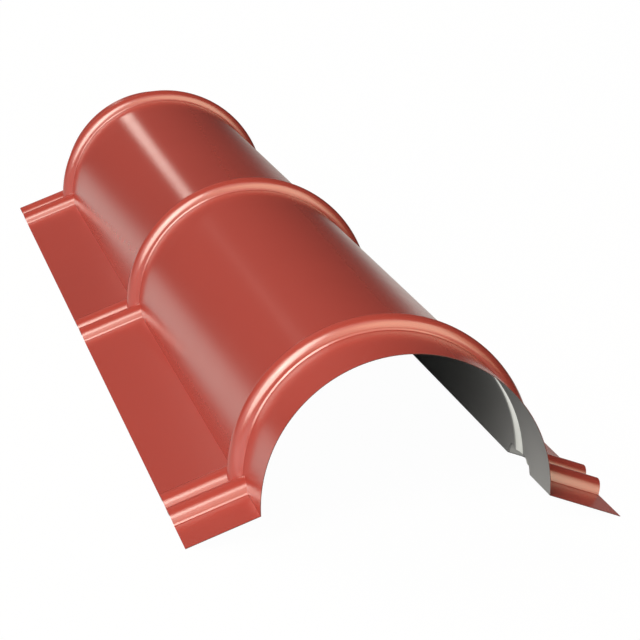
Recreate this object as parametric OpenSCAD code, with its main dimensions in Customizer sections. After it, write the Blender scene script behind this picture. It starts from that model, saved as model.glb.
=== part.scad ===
// Half-round metal ridge cap: one length of coated steel sheet, pressed to an
// arch with a sloping flange along each side. Groups of stiffening beads cross
// it: one half-round bead over the arch and two ribs over each flange.
//
// Millimetres. X runs across the ridge, Y along it and Z up. The origin is at
// the middle of the length, on the level that the edges of the flanges rest on.

/* [Sheet] */
// Length along the ridge
length = 1200; // [800:10:2400]
// Thickness of the sheet with its coating
sheet_t = 0.5; // [0.4:0.05:1.2]

/* [Arch] */
// Outside radius of the arch
arch_r = 110; // [90:1:140]
// Angle from the crown of the arch down to each bend
arch_angle = 92.9; // [88:0.1:98]

/* [Flanges] */
// Width of each flange along its slope, from the bend to the edge
flange_w = 59.2; // [45:0.1:90]
// Slope of the flanges below the level
flange_slope = 20.4; // [10:0.1:35]
// Outside radius of the bend between arch and flange
bend_r = 2.5; // [1:0.1:4]

/* [Bead groups] */
// Number of bead groups along the length
groups = 3; // [2:1:5]
// Plain lip from the front end to the foot of the first rib
front_lip = 49; // [30:1:80]
// Plain lip from the foot of the last rib to the back end
back_lip = 28.5; // [15:0.5:80]
// Radius of the fillets at the feet of the beads and ribs
foot_r = 1.5; // [0.8:0.1:2.5]

/* [Arch beads] */
// Width of the bead over the arch
bead_w = 20; // [20:0.5:26]
// Height of the bead over the arch
bead_h = 10; // [5:0.5:10]

/* [Flange ribs] */
// Width of one rib on the flange
rib_w = 23.8; // [22:0.1:26]
// Height of one rib on the flange
rib_h = 10; // [5:0.5:10.5]
// Distance between the two ribs of a group
rib_pitch = 33; // [31:0.5:45]

/* [Hidden] */
$fn = 96;
// Steps in the arc of a bead or rib, of a fillet at its foot, and of a bend
bump_steps = 16;
foot_steps = 3;
bend_steps = 4;

// Depth that the forms reach below the flanges, past every rib
depth = 30;
// How far the inner form runs past the outer one, so that the cut is clean
over = 5;
// How far the forms of the flanges run into the arch
inset = 24;
// Angle that the form of the arch runs on below the bend
run_on = 6;
// How far the fillet of a bend sinks into the sheets on both sides of it
bend_sink = 0.02;

// Bump: the arc of a bead or a rib across its width w, with its height h
function bump_r(w, h) = (w * w / 4 + h * h) / (2 * h);
function foot_reach(w, h) =
    sqrt(pow(bump_r(w, h) + foot_r, 2) - pow(bump_r(w, h) - h + foot_r, 2));

// Places along the length, from the front end
rib_reach = foot_reach(rib_w, rib_h);
group_half = rib_pitch / 2 + rib_reach;
first_group = front_lip + group_half;
last_group = length - back_lip - group_half;
group_pitch = (last_group - first_group) / (groups - 1);
group_places = [for (i = [0 : groups - 1]) first_group + i * group_pitch];
rib_places = [for (place = group_places, side = [-1, 1])
                  place + side * rib_pitch / 2];

// Bend, seen from the axis of the arch
bend_x = arch_r * sin(arch_angle);
bend_z = arch_r * cos(arch_angle);

// Centre of the bend's radius: bend_r off the flange and off the arch
arch_to_flange = arch_angle - flange_slope;
bend_run = sqrt(pow(arch_r * sin(arch_to_flange), 2)
                + 2 * bend_r * arch_r * (1 - cos(arch_to_flange)))
           - arch_r * sin(arch_to_flange);
bend_centre = [bend_x, bend_z]
              + bend_run * [cos(flange_slope), -sin(flange_slope)]
              + bend_r * [sin(flange_slope), cos(flange_slope)];

// Height of the arch's axis above the level that the flange edges rest on
axis_z = flange_w * sin(flange_slope) + sheet_t * cos(flange_slope) - bend_z;

// Points of an arc round the centre c, from angle a0 to a1 in n steps
function arc(c, r, a0, a1, n) =
    [for (i = [0 : n])
        let (a = a0 + (a1 - a0) * i / n) c + r * [cos(a), sin(a)]];

// Points over one bead or rib of width w and height h, on the face that lies d
// millimetres inside the outer one: a fillet, the arc and the other fillet. As
// the sheet is pressed in one piece, its two faces share the arcs' centres.
function bump_points(place, w, h, d) =
    let (r = bump_r(w, h),
         reach = foot_reach(w, h),
         lean = atan2(r - h + foot_r, reach),
         over_top = arc([place, h - r], r - d, 180 - lean, lean, bump_steps))
    concat(arc([place - reach, foot_r], foot_r + d, -90, -lean, foot_steps),
           [for (i = [1 : bump_steps - 1]) over_top[i]],
           arc([place + reach, foot_r], foot_r + d, 180 + lean, 270, foot_steps));

// Section along the length: the face of the sheet at y = -d with its bumps,
// filled in below, and running on past both ends
module beaded_section(w, h, places, d, past) {
    bumps = [for (place = places)
                for (point = bump_points(place, w, h, d)) point];
    start = -over - past;
    end = length + over + past;
    bottom = -depth - past;
    polygon(concat([[start, bottom], [start, -d]], bumps, [[end, -d], [end, bottom]]));
}

// Solid under the arch and its beads, d millimetres inside the outer face
module arch_form(d, past) {
    half = arch_angle + run_on + past;
    rotate([-90, 0, 0])
        rotate_extrude(angle = 2 * half, start = 270 - half)
            translate([arch_r, 0])
                mirror([1, -1])
                    beaded_section(bead_w, bead_h, group_places, d, past);
}

// Solid under the right flange and its ribs, d millimetres inside the outer face
module flange_form(d, past) {
    translate([bend_x, 0, bend_z])
        rotate([0, flange_slope, 0])
            translate([-inset - past, 0, 0])
                rotate([90, 0, 90])
                    linear_extrude(inset + flange_w + 2 * past)
                        beaded_section(rib_w, rib_h, rib_places, d, past);
}

// Fillet that fills the corner of the right bend, d millimetres inside the
// outer face. It sinks a little into both sheets, so that they cross cleanly.
module bend_form(d, past) {
    to_flange = 270 - flange_slope;
    to_arch = 180 + atan2(bend_centre[1], bend_centre[0]);
    run = over + past;
    translate([0, length + run, 0])
        rotate([90, 0, 0])
            linear_extrude(length + 2 * run)
                polygon(concat(
                    arc(bend_centre, bend_r + d + bend_sink, to_arch, to_flange, bend_steps),
                    arc(bend_centre, bend_r + over, to_flange, to_arch, 1)));
}

// Everything under the face that lies d millimetres inside the outer one
module form(d, past) {
    arch_form(d, past);
    for (side = [0, 1])
        mirror([side, 0, 0]) {
            flange_form(d, past);
            bend_form(d, past);
        }
}

module ridge_cap() {
    color("firebrick")
        translate([0, -length / 2, axis_z])
            difference() {
                intersection() {
                    form(0, 0);
                    translate([-length, 0, -length])
                        cube([2 * length, length, 2 * length]);
                }
                form(sheet_t, over);
            }
}

ridge_cap();
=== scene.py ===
import math

import bmesh
import bpy
from mathutils import Matrix, Vector


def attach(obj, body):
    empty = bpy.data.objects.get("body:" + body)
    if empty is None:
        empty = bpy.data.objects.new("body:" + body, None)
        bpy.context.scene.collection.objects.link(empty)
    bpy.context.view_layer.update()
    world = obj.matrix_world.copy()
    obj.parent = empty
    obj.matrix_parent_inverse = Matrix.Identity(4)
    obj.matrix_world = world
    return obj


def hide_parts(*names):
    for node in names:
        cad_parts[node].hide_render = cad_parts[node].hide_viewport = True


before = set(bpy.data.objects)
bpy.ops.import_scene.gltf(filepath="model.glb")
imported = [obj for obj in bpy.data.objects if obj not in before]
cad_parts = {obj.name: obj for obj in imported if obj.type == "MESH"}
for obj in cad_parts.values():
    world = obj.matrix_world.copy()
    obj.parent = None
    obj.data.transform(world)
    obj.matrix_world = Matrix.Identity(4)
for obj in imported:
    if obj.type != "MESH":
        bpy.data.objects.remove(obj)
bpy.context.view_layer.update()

MM = 0.001

# ---------------------------------------------------------------- camera
# It stands before the front end, to the left of the cap, and looks down along it.
CAMERA_PLACE = (-0.42417, -2.20058, 0.59730)
CAMERA_TURN = math.radians(-12.616)
CAMERA_TILT = math.radians(90 - 14.748)
CAMERA_ROLL = math.radians(0.082)
CAMERA_LENS = 133.91


def add_camera():
    data = bpy.data.cameras.new("front_left_view")
    data.sensor_width = 36
    data.lens = CAMERA_LENS
    data.clip_end = 60
    camera = bpy.data.objects.new("front_left_view", data)
    bpy.context.scene.collection.objects.link(camera)
    camera.location = CAMERA_PLACE
    camera.rotation_euler = (
        Matrix.Rotation(CAMERA_TURN, 3, "Z")
        @ Matrix.Rotation(CAMERA_TILT, 3, "X")
        @ Matrix.Rotation(CAMERA_ROLL, 3, "Z")
    ).to_euler()
    bpy.context.scene.camera = camera


# ---------------------------------------------------------------- sizes
# The cap's own measures, in metres.
LENGTH = 1200 * MM
SHEET = 0.5 * MM
ARCH_R = 110 * MM
ARCH_ANGLE = math.radians(92.9)
FLANGE_W = 59.2 * MM
FLANGE_SLOPE = math.radians(20.4)
# Middles of the three bead groups along the ridge.
GROUP_PLACES = [-521.4 * MM, 10.25 * MM, 541.9 * MM]
GROUP_PITCH = GROUP_PLACES[1] - GROUP_PLACES[0]
# Width and height of the bead over the arch and of one rib over the flange.
BEAD = (20 * MM, 10 * MM)
RIB = (23.8 * MM, 10 * MM)
RIB_PITCH = 33 * MM
# Run and height of the flat that slopes out at the foot of a bead or rib.
FOOT_RUN = 0.89 * MM
FOOT_H = 1.12 * MM
# Depth of the waist that a bump in the paint gives each bay, and where it ends: 0 is the bay's
# middle, 1 its bead's. The sheet itself is straight there.
WAIST = 6.5 * MM
WAIST_END = 0.953

# How finely the sheet is drawn. Sections nearer than the least step are drawn once, plain ones
# follow each group, and places within a hair of each other are the same.
ARCH_STEPS = 46
FLANGE_STEPS = 5
BUMP_STEPS = 16
BAY_CUTS = 7
LEAST_STEP = 0.25 * MM
PLAIN_RUNS = (1.2 * MM, 5 * MM)
HAIR = MM / 50

BEND = Vector((ARCH_R * math.sin(ARCH_ANGLE), ARCH_R * math.cos(ARCH_ANGLE)))
ALONG_FLANGE = Vector((math.cos(FLANGE_SLOPE), -math.sin(FLANGE_SLOPE)))
OFF_FLANGE = Vector((math.sin(FLANGE_SLOPE), math.cos(FLANGE_SLOPE)))
AXIS_Z = (
    FLANGE_W * math.sin(FLANGE_SLOPE) + SHEET * math.cos(FLANGE_SLOPE) - BEND.y
)


class Bump:
    """The section of a bead or rib: an arc of its width and height, with a narrow flat that
    slopes out at each foot."""

    def __init__(self, width, height):
        self.height = height
        self.radius = (width * width / 4 + height * height) / (2 * height)
        low = self.radius - height + FOOT_H
        self.flat = math.sqrt(self.radius**2 - low**2)
        self.reach = self.flat + FOOT_RUN
        self.lean = math.atan2(low, self.flat)

    def rise(self, off):
        """Height of the sheet at a place this far along the ridge from the middle of the bump."""
        off = abs(off)
        if off >= self.flat:
            return max(0.0, FOOT_H * (self.reach - off) / FOOT_RUN)
        return self.height - self.radius + math.sqrt(self.radius**2 - off * off)

    def stations(self):
        """Places across the bump that draw its arc evenly."""
        places = [-self.reach]
        for i in range(BUMP_STEPS // 2):
            turn = math.pi - self.lean - (math.pi - 2 * self.lean) * i / BUMP_STEPS
            places.append(self.radius * math.cos(turn))
        return [*places, 0.0, *(-p for p in reversed(places))]


bead, rib = Bump(*BEAD), Bump(*RIB)
GROUP_HALF = RIB_PITCH / 2 + rib.reach


# ---------------------------------------------------------------- modelling
def start_mesh(name):
    """A new empty mesh object at the origin, open for modelling."""
    bpy.ops.object.select_all(action="DESELECT")
    bpy.ops.mesh.primitive_plane_add(size=MM)
    piece = bpy.context.active_object
    piece.name = piece.data.name = name
    bpy.ops.object.mode_set(mode="EDIT")
    bpy.ops.mesh.select_mode(type="VERT")
    bpy.ops.mesh.select_all(action="SELECT")
    bpy.ops.mesh.delete(type="VERT")
    return piece


def select_verts(piece, wanted):
    """Selects the vertices that a test of their place accepts, and the edges between them."""
    bpy.ops.mesh.select_all(action="DESELECT")
    mesh = bmesh.from_edit_mesh(piece.data)
    for vert in mesh.verts:
        vert.select_set(wanted(vert.co))
    mesh.select_flush_mode()
    mesh.select_flush(True)
    bmesh.update_edit_mesh(piece.data)


def apply_modifier(piece, kind, **settings):
    bpy.ops.object.select_all(action="DESELECT")
    piece.select_set(True)
    bpy.context.view_layer.objects.active = piece
    modifier = piece.modifiers.new(kind.title(), kind)
    for name, value in settings.items():
        setattr(modifier, name, value)
    bpy.ops.object.modifier_apply(modifier=modifier.name)


def draw_section(y, arch_rise, flange_rise):
    """Draws half the cap's section at a place along the ridge, with the arch and the flange lifted
    off their plain faces: an arc from the crown down to the bend, and the slope of the flange."""
    radius = ARCH_R + arch_rise
    level = BEND.dot(OFF_FLANGE) + flange_rise
    down = math.acos(level / radius) + FLANGE_SLOPE
    bend = radius * Vector((math.sin(down), math.cos(down)))
    edge = BEND + FLANGE_W * ALONG_FLANGE + flange_rise * OFF_FLANGE
    bpy.ops.mesh.select_all(action="DESELECT")
    bpy.ops.mesh.primitive_plane_add(size=MM, location=(0, y, AXIS_Z + radius))
    bpy.ops.mesh.merge(type="CENTER")
    bpy.ops.mesh.spin(
        steps=ARCH_STEPS, angle=down, center=(0, y, AXIS_Z), axis=(0, 1, 0)
    )
    run = (edge - bend) / FLANGE_STEPS
    bpy.ops.mesh.extrude_repeat(steps=FLANGE_STEPS, offset=(-run.x, 0, run.y))


def model_bead_group():
    """Left half of one bead group, round the origin: the bead over the arch between the two
    ribs over the flange. It is drawn from its middle to its back foot and mirrored to the front."""
    piece = start_mesh("pressed_sheet")
    places = {p for p in bead.stations() if p >= 0}
    places |= {RIB_PITCH / 2 + p for p in rib.stations() if p > -RIB_PITCH / 2}
    kept = []
    for y in sorted(places):
        if not kept or y - kept[-1] > LEAST_STEP:
            kept.append(y)
    kept += [GROUP_HALF + run for run in PLAIN_RUNS]
    for i, y in enumerate(kept):
        draw_section(y, bead.rise(y), rib.rise(y - RIB_PITCH / 2))
        if i:
            low, high = kept[i - 1] - HAIR, y + HAIR
            select_verts(piece, lambda co: low < co.y < high)
            bpy.ops.mesh.bridge_edge_loops()
    bpy.ops.object.mode_set(mode="OBJECT")
    apply_modifier(
        piece,
        "MIRROR",
        use_axis=(False, True, False),
        use_clip=True,
        merge_threshold=HAIR,
    )
    return piece, kept[-1]


def model_sheet():
    """The whole cap: three bead groups, the plain bays between them and the plain lips."""
    piece, half = model_bead_group()
    bpy.ops.object.mode_set(mode="EDIT")
    bpy.ops.mesh.select_all(action="SELECT")
    bpy.ops.transform.translate(value=(0, GROUP_PLACES[0], 0))
    for place, next_place in zip(GROUP_PLACES, GROUP_PLACES[1:]):
        bpy.ops.mesh.duplicate_move(
            TRANSFORM_OT_translate={"value": (0, next_place - place, 0)}
        )
    for place, next_place in zip(GROUP_PLACES, GROUP_PLACES[1:]):
        low, high = place + half - HAIR, next_place - half + HAIR
        select_verts(piece, lambda co: low < co.y < high)
        bpy.ops.mesh.bridge_edge_loops(number_cuts=BAY_CUTS, interpolation="LINEAR")
    for place, end, side in (
        (GROUP_PLACES[0], -LENGTH / 2, -1),
        (GROUP_PLACES[-1], LENGTH / 2, 1),
    ):
        edge = place + side * half
        select_verts(piece, lambda co: abs(co.y - edge) < HAIR)
        bpy.ops.mesh.extrude_region_move(
            TRANSFORM_OT_translate={"value": (0, end - edge, 0)}
        )
    bpy.ops.mesh.select_all(action="SELECT")
    bpy.ops.mesh.remove_doubles(threshold=HAIR / 2)
    bpy.ops.object.mode_set(mode="OBJECT")
    apply_modifier(
        piece,
        "MIRROR",
        use_axis=(True, False, False),
        use_clip=True,
        merge_threshold=HAIR,
    )
    bpy.ops.object.mode_set(mode="EDIT")
    bpy.ops.mesh.select_all(action="SELECT")
    bpy.ops.mesh.normals_make_consistent(inside=False)
    bpy.ops.object.mode_set(mode="OBJECT")
    crown = max(piece.data.polygons, key=lambda face: face.center.z)
    if crown.normal.z < 0:
        piece.data.flip_normals()
    return piece


# ---------------------------------------------------------------- finishes
class Wire:
    """A socket of a finish's nodes, used as a value in an expression."""

    def __init__(self, finish, socket):
        self.finish, self.socket = finish, socket

    def _math(self, operation, *values):
        return self.finish.node(
            "ShaderNodeMath", {"operation": operation}, dict(enumerate(values))
        )

    def __add__(self, other):
        return self._math("ADD", self, other)

    __radd__ = __add__

    def __sub__(self, other):
        return self._math("SUBTRACT", self, other)

    def __rsub__(self, other):
        return self._math("SUBTRACT", other, self)

    def __mul__(self, other):
        return self._math("MULTIPLY", self, other)

    __rmul__ = __mul__


class Finish:
    """A material and the nodes that make its look."""

    def __init__(self, name, **shader):
        self.material = bpy.data.materials.new(name)
        self.material.use_nodes = True
        self.tree = self.material.node_tree
        self.shader = self.tree.nodes["Principled BSDF"]
        for socket, value in shader.items():
            self.shader.inputs[socket.replace("_", " ")].default_value = value

    def node(self, kind, settings=None, inputs=None, output=0):
        """Adds a node: first its settings, then the values or links of its sockets."""
        node = self.tree.nodes.new(kind)
        for name, value in (settings or {}).items():
            setattr(node, name, value)
        for name, value in (inputs or {}).items():
            self.feed(node.inputs[name], value)
        return Wire(self, node.outputs[output])

    def feed(self, socket, value):
        if isinstance(value, Wire):
            self.tree.links.new(value.socket, socket)
        else:
            socket.default_value = value

    def set(self, name, value):
        self.feed(self.shader.inputs[name], value)

    def along(self, axis):
        """One of the Object coordinates."""
        own = self.node("ShaderNodeTexCoord", output="Object")
        return self.node("ShaderNodeSeparateXYZ", {}, {"Vector": own}, output=axis)

    def places(self, stretch=(1, 1, 1)):
        """Object coordinates, stretched for a pattern that runs along the ridge."""
        own = self.node("ShaderNodeTexCoord", output="Object")
        return self.node("ShaderNodeMapping", {}, {"Vector": own, "Scale": stretch})

    def noise(self, scale, detail=2.0, stretch=(1, 1, 1)):
        return self.node(
            "ShaderNodeTexNoise",
            {"noise_dimensions": "3D"},
            {"Vector": self.places(stretch), "Scale": scale, "Detail": detail},
        )

    def blend(self, amount, first, second):
        """A colour between two colours."""
        return self.node(
            "ShaderNodeMix",
            {"data_type": "RGBA"},
            {"Factor": amount, 6: first, 7: second},
            output=2,
        )

    def wrap(self, value, low, high):
        """The value, repeated between two limits."""
        return self.node(
            "ShaderNodeMath", {"operation": "WRAP"}, {0: value, 1: high, 2: low}
        )

    def pool(self, vector, centre, reach):
        """1 at a centre, and 0 from a reach away from it."""
        spot = self.node(
            "ShaderNodeMapping",
            {"vector_type": "TEXTURE"},
            {"Vector": vector, "Location": centre, "Scale": reach},
        )
        return self.node(
            "ShaderNodeTexGradient", {"gradient_type": "SPHERICAL"}, {"Vector": spot}
        )

    def keep(self, value, low, high):
        """The value, kept between two limits."""
        return self.node("ShaderNodeClamp", {}, {0: value, 1: low, 2: high})

    def over(self, value, limit):
        """1 where the value is over the limit, and 0 elsewhere."""
        return self.node(
            "ShaderNodeMath", {"operation": "GREATER_THAN"}, {0: value, 1: limit}
        )

    def least(self, value, other):
        """The smaller of two values."""
        return self.node(
            "ShaderNodeMath", {"operation": "MINIMUM"}, {0: value, 1: other}
        )

    def bump(self, height, strength, distance, normal=None):
        inputs = {"Height": height, "Strength": strength, "Distance": distance}
        if normal is not None:
            inputs["Normal"] = normal
        return self.node("ShaderNodeBump", {}, inputs)


def paint_finish():
    """Oxide-red baked coat: satin gloss, with the fine skin of a roller-coated sheet."""
    finish = Finish("oxide_red_coat", IOR=2.0)
    cloud = finish.noise(7, 3)
    finish.set(
        "Base Color",
        finish.blend(cloud, (0.474, 0.068, 0.051, 1), (0.507, 0.073, 0.055, 1)),
    )
    # Each bay mirrors as if it had a slight waist, and its form stays straight.
    on_bays = finish.keep(finish.along("Y"), GROUP_PLACES[0], GROUP_PLACES[-1])
    bay = finish.wrap((on_bays - GROUP_PLACES[0]) * (2 / GROUP_PITCH) + 1, -1.0, 1.0)
    waist = finish.bump(finish.least(bay * bay, WAIST_END**2), 1.0, WAIST)
    skin = finish.noise(260, 2)
    finish.set("Roughness", 0.20 + 0.04 * finish.noise(40, 2))
    finish.set("Normal", finish.bump(skin, 0.05, 0.3 * MM, waist))
    return finish.material


# The bright zinc is a painted highlight: pale metal put where the faces in the grooves and
# hollows under the sheet catch the light. It starts this far inside the arch's outer face and
# ends this far above the bends. The ribs' hollows get a part of it. That these places are bare
# zinc is a guess.
ZINC_HIGHLIGHT_RIM = 0.2 * MM
ZINC_HIGHLIGHT_END = 4 * MM
HOLLOW_ZINC_HIGHLIGHT = 0.36


def backing_finish():
    """Dull grey coat on the underside, with bright zinc in the grooves under the arch's beads
    and some of it in the hollows under the ribs, so that they look pale. The zinc there is a
    painted highlight, put where those faces catch the light."""
    finish = Finish("grey_backing_coat", IOR=1.04, Specular_Tint=(0.0, 0.0, 0.0, 1))
    across = finish.along("X")
    up = finish.along("Z") - AXIS_Z
    from_axis = across * across + up * up
    off = finish.wrap(
        finish.along("Y") - GROUP_PLACES[0], -GROUP_PITCH / 2, GROUP_PITCH / 2
    )
    # Painted highlight: the mask of bright metal in the grooves and the rib hollows, where their
    # faces catch the light.
    groove = finish.over(from_axis, (ARCH_R - ZINC_HIGHLIGHT_RIM) ** 2)
    groove = groove * finish.over(up, BEND.y + ZINC_HIGHLIGHT_END)
    groove = groove * (1 - finish.over(off * off, (BEAD[0] / 2) ** 2))
    hollow = finish.over(from_axis, (ARCH_R + MM) ** 2)
    hollow = hollow * (1 - finish.over(off * off, ((RIB_PITCH + RIB[0]) / 2) ** 2))
    zinc_highlight_mask = finish.keep(groove + HOLLOW_ZINC_HIGHLIGHT * hollow, 0, 1)
    cloud = finish.noise(12, 3)
    coat = finish.blend(cloud, (0.350, 0.365, 0.390, 1), (0.405, 0.420, 0.450, 1))
    streaks = finish.noise(30, 3, (1, 12, 1))
    # The colour of the painted highlight in the grooves and hollows.
    zinc_highlight = finish.blend(streaks, (0.80, 0.81, 0.79, 1), (0.90, 0.91, 0.89, 1))
    finish.set("Base Color", finish.blend(zinc_highlight_mask, coat, zinc_highlight))
    finish.set("Metallic", zinc_highlight_mask)
    finish.set("Roughness", 0.6 - 0.3 * zinc_highlight_mask)
    finish.set("Normal", finish.bump(finish.noise(320, 2), 0.05, 0.3 * MM))
    return finish.material


def cut_edge_finish():
    """Dark edge where the sheet was cut."""
    finish = Finish("dark_cut_edge")
    grain = finish.noise(900, 2)
    finish.set(
        "Base Color",
        finish.blend(grain, (0.120, 0.034, 0.028, 1), (0.180, 0.054, 0.045, 1)),
    )
    finish.set("Roughness", 0.4 + 0.15 * grain)
    return finish.material


def finish_cap():
    cap = model_sheet()
    for material in (paint_finish(), backing_finish(), cut_edge_finish()):
        cap.data.materials.append(material)
    apply_modifier(
        cap,
        "SOLIDIFY",
        thickness=SHEET,
        offset=-1,
        use_even_offset=True,
        use_rim=True,
        material_offset=1,
        material_offset_rim=2,
    )
    bpy.ops.object.select_all(action="DESELECT")
    cap.select_set(True)
    bpy.context.view_layer.objects.active = cap
    bpy.ops.object.shade_smooth_by_angle(angle=math.radians(18))
    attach(cap, "root")
    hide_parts("ridge_cap")
    return cap


# ---------------------------------------------------------------- studio
# What the camera sees of the floor and the paper: a part of it plain white, of this brightness.
FLOOR_WHITE = 0.9
FLOOR_GLOW = 1.09

# What the cap mirrors of the grey floor: a far grey with pools of paler greys round the cap and
# to its right. These are painted light: the pools stand for the floor lit brighter near the cap,
# the far grey for the floor in less light far off, and the cap shows them as painted
# reflections. A pool has a colour, an amount, a centre and a reach.
FAR_SHADE_GREY = (0.18, 0.18, 0.17, 1)
ROUND_CAP_LIGHT_POOL = ((0.57, 0.57, 0.53, 1), 1.0, (0.0, 0.4, 0.0), (4.0, 4.0, 1.0))
BESIDE_CAP_LIGHT_POOL = ((0.85, 0.85, 0.80, 1), 0.8, (0.45, 0.6, 0.0), (0.8, 1.8, 1.0))
PAPER_WHITE = (1, 0.98, 0.94, 1)


def add_floor():
    """Wide grey floor, with a sheet of white paper before the front end. Both show white to the
    camera, and keep a soft shadow of the cap."""
    bpy.ops.object.select_all(action="DESELECT")
    bpy.ops.mesh.primitive_plane_add(size=50, location=(0, 0, -2 * MM))
    floor = bpy.context.active_object
    floor.name = "floor"
    floor.data.materials.append(
        floor_finish("grey_floor", FAR_SHADE_GREY, (ROUND_CAP_LIGHT_POOL, BESIDE_CAP_LIGHT_POOL), 1.0)
    )
    bpy.ops.mesh.primitive_plane_add(size=1, location=(-0.2, -1.575, 0))
    paper = bpy.context.active_object
    paper.name = "paper"
    paper.scale = (3.0, 1.95, 1)
    paper.data.materials.append(floor_finish("white_paper", PAPER_WHITE, (), 0.9))


def floor_finish(name, mirrored, pools, part):
    """Dull grey floor that the camera sees as mostly white. The object mirrors a part of it in
    a colour of its own, with pools of other colours: painted pools of light, which the
    object shows as painted reflections."""
    finish = Finish(name, Roughness=0.9, Specular_IOR_Level=0.0)
    finish.set("Base Color", (0.20, 0.20, 0.20, 1))
    own = finish.node("ShaderNodeTexCoord", output="Object")
    # Painted pools of light on what the object mirrors of the floor.
    for colour, amount, centre, reach in pools:
        pool = amount * finish.pool(own, centre, reach)
        mirrored = finish.blend(pool, mirrored, colour)
    camera, glossy, through = (
        finish.node("ShaderNodeLightPath", output=ray)
        for ray in ("Is Camera Ray", "Is Glossy Ray", "Is Transmission Ray")
    )
    colour = finish.blend(camera, mirrored, (1, 1, 1, 1))
    mixed = finish.node(
        "ShaderNodeMixShader",
        {},
        {
            0: (camera + through) * FLOOR_WHITE + glossy * part,
            1: Wire(finish, finish.shader.outputs[0]),
            2: finish.node(
                "ShaderNodeEmission", {}, {"Color": colour, "Strength": FLOOR_GLOW}
            ),
        },
    )
    finish.feed(finish.tree.nodes["Material Output"].inputs["Surface"], mixed)
    return finish.material


WARM = (1, 0.93, 0.82)

# Soft boxes round the cap: the way to each, its width and height, its glow and its colour.
BOX_DISTANCE = 8.0
SOFT_BOXES = {
    "key_softbox": ((-0.62, -0.69, 0.375), (6.6, 3.7), 5.2, WARM),
    "key_top": ((-0.477, -0.530, 0.701), (4.1, 4.1), 6.0, WARM),
    "front_wall": ((0.284, -0.779, 0.559), (7.6, 7.6), 0.75, (1, 0.91, 0.58)),
    "front_card": ((0.512, -0.680, 0.525), (8.4, 6.0), 1.1, (1, 0.90, 0.55)),
    "wide_wall": ((-0.103, -0.736, 0.669), (18, 10), 1.0, (1, 0.94, 0.82)),
    "left_wall": ((-0.974, -0.085, 0.208), (7, 4), 0.5, (1, 1, 0.97)),
    "key_side": ((-0.83, -0.176, 0.53), (3.6, 5.0), 1.0, WARM),
    "rear_fill": ((-0.267, 0.8, 0.535), (6.0, 6.0), 4.0, (1, 0.97, 0.93)),
}
ROUND_BOXES = ("key_top",)
ONLY_MIRRORED = ("front_card", "wide_wall", "left_wall", "key_side")
ONLY_LIGHTING = ("rear_fill",)

# Strength of the world, apart from the white that the camera sees.
DIM_ROOM = 0.03


def add_lamp(name, way, distance, size, glow, colour, round_face=False, aim=(0, 0, 0.1)):
    """A soft box that faces a point from a direction. Its glow is the brightness of its face,
    where 1 is white."""
    back = Vector(way).normalized()
    side = Vector((0, 0, 1)).cross(back).normalized()
    data = bpy.data.lights.new(name, "AREA")
    data.shape = "ELLIPSE" if round_face else "RECTANGLE"
    data.size, data.size_y = size
    face = size[0] * size[1] * (math.pi / 4 if round_face else 1)
    data.energy = math.pi * glow * face
    data.color = colour
    lamp = bpy.data.objects.new(name, data)
    bpy.context.scene.collection.objects.link(lamp)
    lamp.location = Vector(aim) + distance * back
    lamp.rotation_euler = (
        Matrix((side, back.cross(side), back)).transposed().to_euler()
    )
    lamp.visible_camera = False
    return lamp


def light_studio():
    for name, (way, size, glow, colour) in SOFT_BOXES.items():
        box = add_lamp(name, way, BOX_DISTANCE, size, glow, colour, name in ROUND_BOXES)
        box.visible_diffuse = name not in ONLY_MIRRORED
        box.visible_glossy = name not in ONLY_LIGHTING
    # A small lamp behind the cap, that draws the pale streak along the back bay.
    add_lamp(
        "rear_lamp",
        (-0.068, 0.85, 0.21),
        0.88,
        (0.06, 0.06),
        4.1,
        (1, 0.9, 0.8),
        aim=(-0.047, 0.35, 0.12),
    )
    world = bpy.data.worlds.new("studio")
    bpy.context.scene.world = world
    world.use_nodes = True
    nodes, links = world.node_tree.nodes, world.node_tree.links
    rays = nodes.new("ShaderNodeLightPath")
    seen = nodes.new("ShaderNodeMapRange")
    seen.inputs["To Min"].default_value = DIM_ROOM
    links.new(rays.outputs["Is Camera Ray"], seen.inputs["Value"])
    links.new(seen.outputs["Result"], nodes["Background"].inputs["Strength"])
    nodes["Background"].inputs["Color"].default_value = (1, 1, 1, 1)


add_camera()
finish_cap()
add_floor()
light_studio()
bpy.context.scene.view_settings.view_transform = "Standard"
